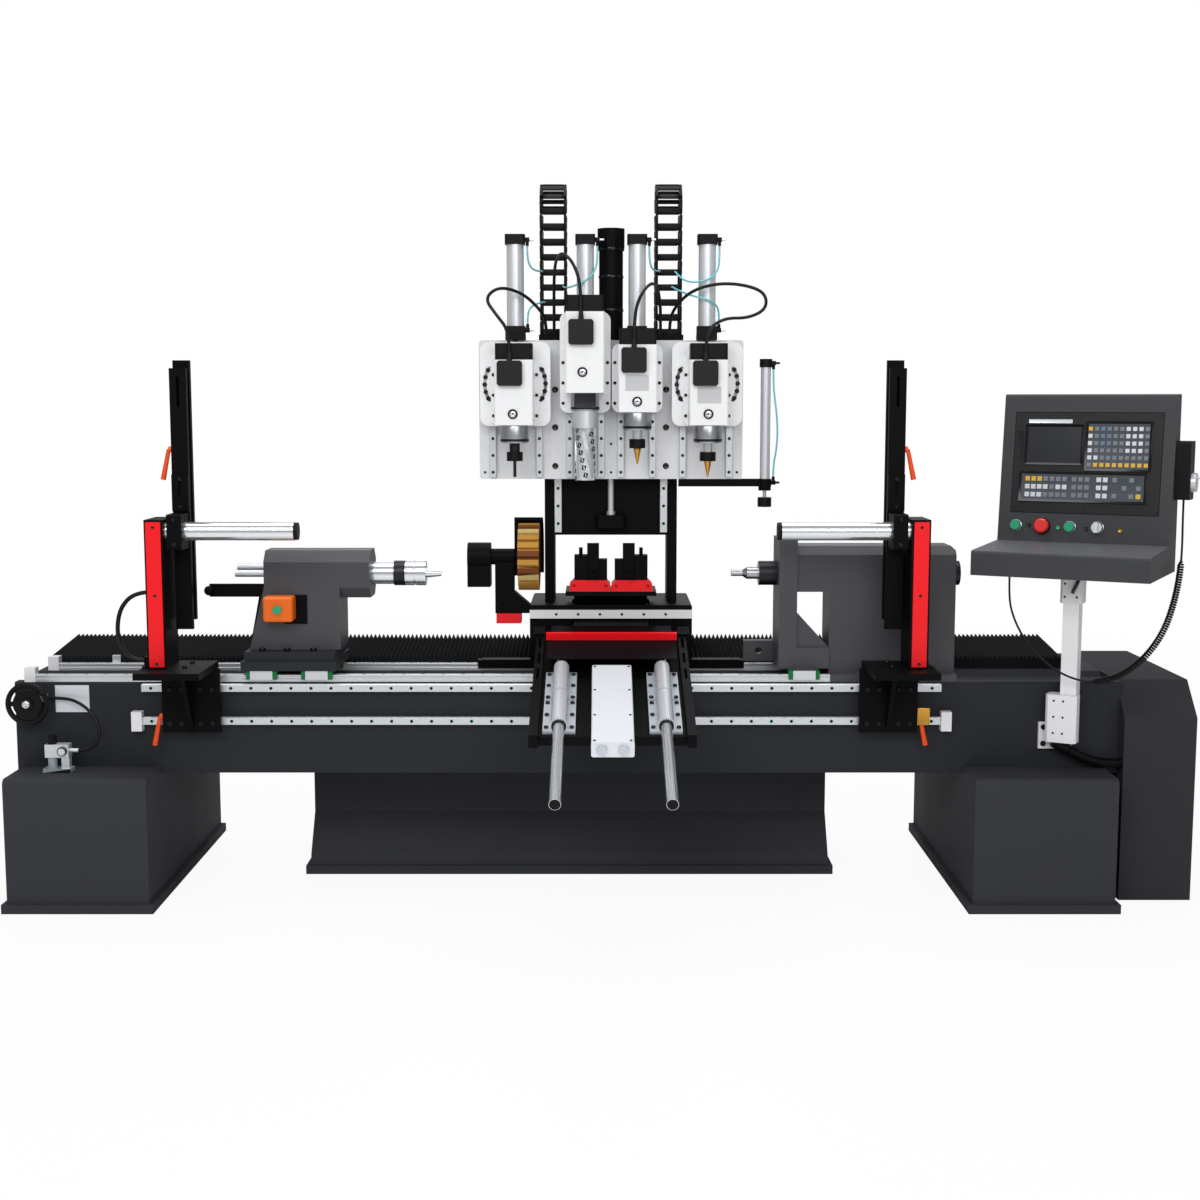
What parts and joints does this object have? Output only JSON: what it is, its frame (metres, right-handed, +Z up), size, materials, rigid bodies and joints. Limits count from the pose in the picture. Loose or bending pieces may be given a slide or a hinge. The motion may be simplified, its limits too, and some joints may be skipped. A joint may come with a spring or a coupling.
{
  "type": "cnc woodturning lathe",
  "caption": "Long-bed computer-controlled lathe for wood blanks, with a travelling portal of router spindles, a sanding wheel, magazine loaders, a tailstock and a swing console.",
  "frame": {"origin": "point on the floor under the middle of the bed", "axes": "+X along the bed towards the headstock, +Y from the operator to the back, +Z up"},
  "size_m": [3.65, 1.7204, 2.2269],
  "materials": {
    "bed_paint": "satin charcoal enamel",
    "grey_paint": "satin dark grey enamel",
    "casting_paint": "satin mid grey enamel",
    "black_paint": "satin black enamel",
    "console_paint": "fine textured grey enamel",
    "white_paint": "gloss white enamel",
    "steel": "ground steel",
    "aluminium": "machined and anodised aluminium",
    "black_iron": "black oxide",
    "black_plastic": "moulded black plastic",
    "bellows_rubber": "pleated coated cloth",
    "hose_rubber": "black jacket",
    "abrasive": "abrasive cloth flaps",
    "orange_plastic": "moulded orange plastic",
    "green_plastic": "moulded green plastic",
    "red_plastic": "moulded red plastic"
  },
  "bodies": {
    "base": {"bed_frame": "bed_paint", "pedestals": "grey_paint", "centre_plinth": "grey_paint", "electrical_cabinet": "grey_paint", "bed_guideways": "steel", "rear_guideways": "steel", "way_bellows": "bellows_rubber", "headstock": "casting_paint", "air_service_unit": "aluminium", "bed_hose": "hose_rubber", "console_stand": "white_paint", "stand_conduit": "hose_rubber"},
    "handwheel": {"handwheel": "black_paint"},
    "main_spindle": {"main_spindle": "steel"},
    "tailstock": {"tailstock_body": "casting_paint", "tailstock_blocks": "steel", "button_box": "orange_plastic"},
    "quill": {"quill": "steel"},
    "live_centre": {"live_centre": "steel"},
    "box_button": {"box_button": "green_plastic"},
    "saddle": {"saddle_base": "black_paint", "inclined_deck": "black_paint", "gantry_frame": "black_paint", "saddle_guides": "steel", "servo_motors": "black_iron", "bearing_housings": "aluminium", "sander_arm": "black_paint"},
    "sanding_wheel": {"sanding_wheel": "abrasive"},
    "tool_carriage": {"guide_rods": "steel", "tool_table": "black_paint", "tool_posts": "black_iron"},
    "head": {"head_plate": "white_paint", "spindle_rails": "steel", "air_cylinders": "aluminium", "drag_chains": "black_plastic", "positioner": "aluminium", "head_cables": "hose_rubber"},
    "positioner_rod": {"positioner_rod": "steel"},
    "left_loader": {"left_loader": "black_paint", "left_loader_hose": "hose_rubber"},
    "left_arm": {"left_arm": "black_paint"},
    "right_loader": {"right_loader": "black_paint"},
    "right_arm": {"right_arm": "black_paint"},
    "console": {"console_box": "console_paint", "pendant": "black_plastic", "pendant_cord": "hose_rubber"},
    "start_button": {"start_button": "green_plastic"},
    "estop_button": {"estop_button": "red_plastic"},
    "hold_button": {"hold_button": "green_plastic"},
    "selector_knob": {"selector_knob": "black_plastic"},
    "pendant_wheel": {"pendant_wheel": "black_plastic"},
    "spindle_1": {"spindle_1": "aluminium"},
    "spindle_1_rotor": {"spindle_1_rotor": "steel"},
    "spindle_2": {"spindle_2": "aluminium"},
    "spindle_2_rotor": {"spindle_2_rotor": "steel"},
    "spindle_3": {"spindle_3": "aluminium"},
    "spindle_3_rotor": {"spindle_3_rotor": "steel"},
    "spindle_4": {"spindle_4": "aluminium"},
    "spindle_4_rotor": {"spindle_4_rotor": "steel"}
  },
  "joints": [
    {"name": "handwheel_turn", "type": "hinge", "parent": "base", "child": "handwheel", "pos_m": [-1.652, -0.34, 0.615], "axis": [0, 1, 0], "continuous": true},
    {"name": "main_spindle_turn", "type": "hinge", "parent": "base", "child": "main_spindle", "pos_m": [0.6, -0.166, 1], "axis": [1, 0, 0], "continuous": true},
    {"name": "tailstock_travel", "type": "slide", "parent": "base", "child": "tailstock", "axis": [1, 0, 0], "range_m": [-0.25, 0.1]},
    {"name": "quill_feed", "type": "slide", "parent": "tailstock", "child": "quill", "axis": [1, 0, 0], "range_m": [0, 0.08]},
    {"name": "live_centre_turn", "type": "hinge", "parent": "quill", "child": "live_centre", "pos_m": [-0.45, -0.166, 1], "axis": [1, 0, 0], "continuous": true},
    {"name": "box_button_press", "type": "slide", "parent": "tailstock", "child": "box_button", "axis": [0, 1, 0], "range_m": [0, 0.004], "stiffness_N_per_m": 400},
    {"name": "saddle_travel", "type": "slide", "parent": "base", "child": "saddle", "axis": [1, 0, 0], "range_m": [-0.3, 0.1], "deforming": ["way_bellows"]},
    {"name": "sanding_wheel_turn", "type": "hinge", "parent": "saddle", "child": "sanding_wheel", "pos_m": [-0.13, -0.002, 1.036], "axis": [1, 0, 0], "continuous": true},
    {"name": "tool_slide", "type": "slide", "parent": "saddle", "child": "tool_carriage", "axis": [0, -0.9613, -0.2756], "range_m": [0, 0.1]},
    {"name": "head_lift", "type": "slide", "parent": "saddle", "child": "head", "axis": [0, 0, 1], "range_m": [-0.12, 0.1], "deforming": ["drag_chains", "head_cables"]},
    {"name": "positioner_press", "type": "slide", "parent": "head", "child": "positioner_rod", "axis": [0, 0, 1], "range_m": [-0.06, 0]},
    {"name": "left_loader_travel", "type": "slide", "parent": "base", "child": "left_loader", "axis": [1, 0, 0], "range_m": [-0.04, 0.3]},
    {"name": "left_arm_travel", "type": "slide", "parent": "left_loader", "child": "left_arm", "axis": [1, 0, 0], "range_m": [0, 0.27]},
    {"name": "right_loader_travel", "type": "slide", "parent": "base", "child": "right_loader", "axis": [1, 0, 0], "range_m": [-0.25, 0.05]},
    {"name": "right_arm_travel", "type": "slide", "parent": "right_loader", "child": "right_arm", "axis": [1, 0, 0], "range_m": [-0.27, 0]},
    {"name": "console_swing", "type": "hinge", "parent": "base", "child": "console", "pos_m": [1.535, -0.346, 1.018], "axis": [0, 0, 1], "range_deg": [-40, 40]},
    {"name": "start_press", "type": "slide", "parent": "console", "child": "start_button", "axis": [0.4737, 0.8724, -0.1205], "range_m": [0, 0.004], "stiffness_N_per_m": 400},
    {"name": "estop_press", "type": "slide", "parent": "console", "child": "estop_button", "axis": [0.4737, 0.8724, -0.1205], "range_m": [0, 0.004], "stiffness_N_per_m": 400},
    {"name": "hold_press", "type": "slide", "parent": "console", "child": "hold_button", "axis": [0.4737, 0.8724, -0.1205], "range_m": [0, 0.004], "stiffness_N_per_m": 400},
    {"name": "selector_turn", "type": "hinge", "parent": "console", "child": "selector_knob", "pos_m": [1.61787, -0.28769, 1.15065], "axis": [-0.4737, -0.8724, 0.1205], "range_deg": [-45, 45]},
    {"name": "pendant_wheel_turn", "type": "hinge", "parent": "console", "child": "pendant_wheel", "pos_m": [1.88041, -0.34693, 1.292], "axis": [0.8788, -0.4772, 0], "continuous": true},
    {"name": "spindle_1_stroke", "type": "slide", "parent": "head", "child": "spindle_1", "axis": [0, 0, 1], "range_m": [-0.05, 0.1]},
    {"name": "spindle_1_turn", "type": "hinge", "parent": "spindle_1", "child": "spindle_1_rotor", "pos_m": [-0.165, -0.166, 1.45], "axis": [0, 0, 1], "continuous": true},
    {"name": "spindle_2_stroke", "type": "slide", "parent": "head", "child": "spindle_2", "axis": [0, 0, 1], "range_m": [-0.15, 0]},
    {"name": "spindle_2_turn", "type": "hinge", "parent": "spindle_2", "child": "spindle_2_rotor", "pos_m": [0.054, -0.166, 1.45], "axis": [0, 0, 1], "continuous": true},
    {"name": "spindle_3_stroke", "type": "slide", "parent": "head", "child": "spindle_3", "axis": [0, 0, 1], "range_m": [-0.05, 0.08]},
    {"name": "spindle_3_turn", "type": "hinge", "parent": "spindle_3", "child": "spindle_3_rotor", "pos_m": [0.216, -0.166, 1.45], "axis": [0, 0, 1], "continuous": true},
    {"name": "spindle_4_stroke", "type": "slide", "parent": "head", "child": "spindle_4", "axis": [0, 0, 1], "range_m": [-0.05, 0.1]},
    {"name": "spindle_4_turn", "type": "hinge", "parent": "spindle_4", "child": "spindle_4_rotor", "pos_m": [0.435, -0.166, 1.45], "axis": [0, 0, 1], "continuous": true}
  ]
}
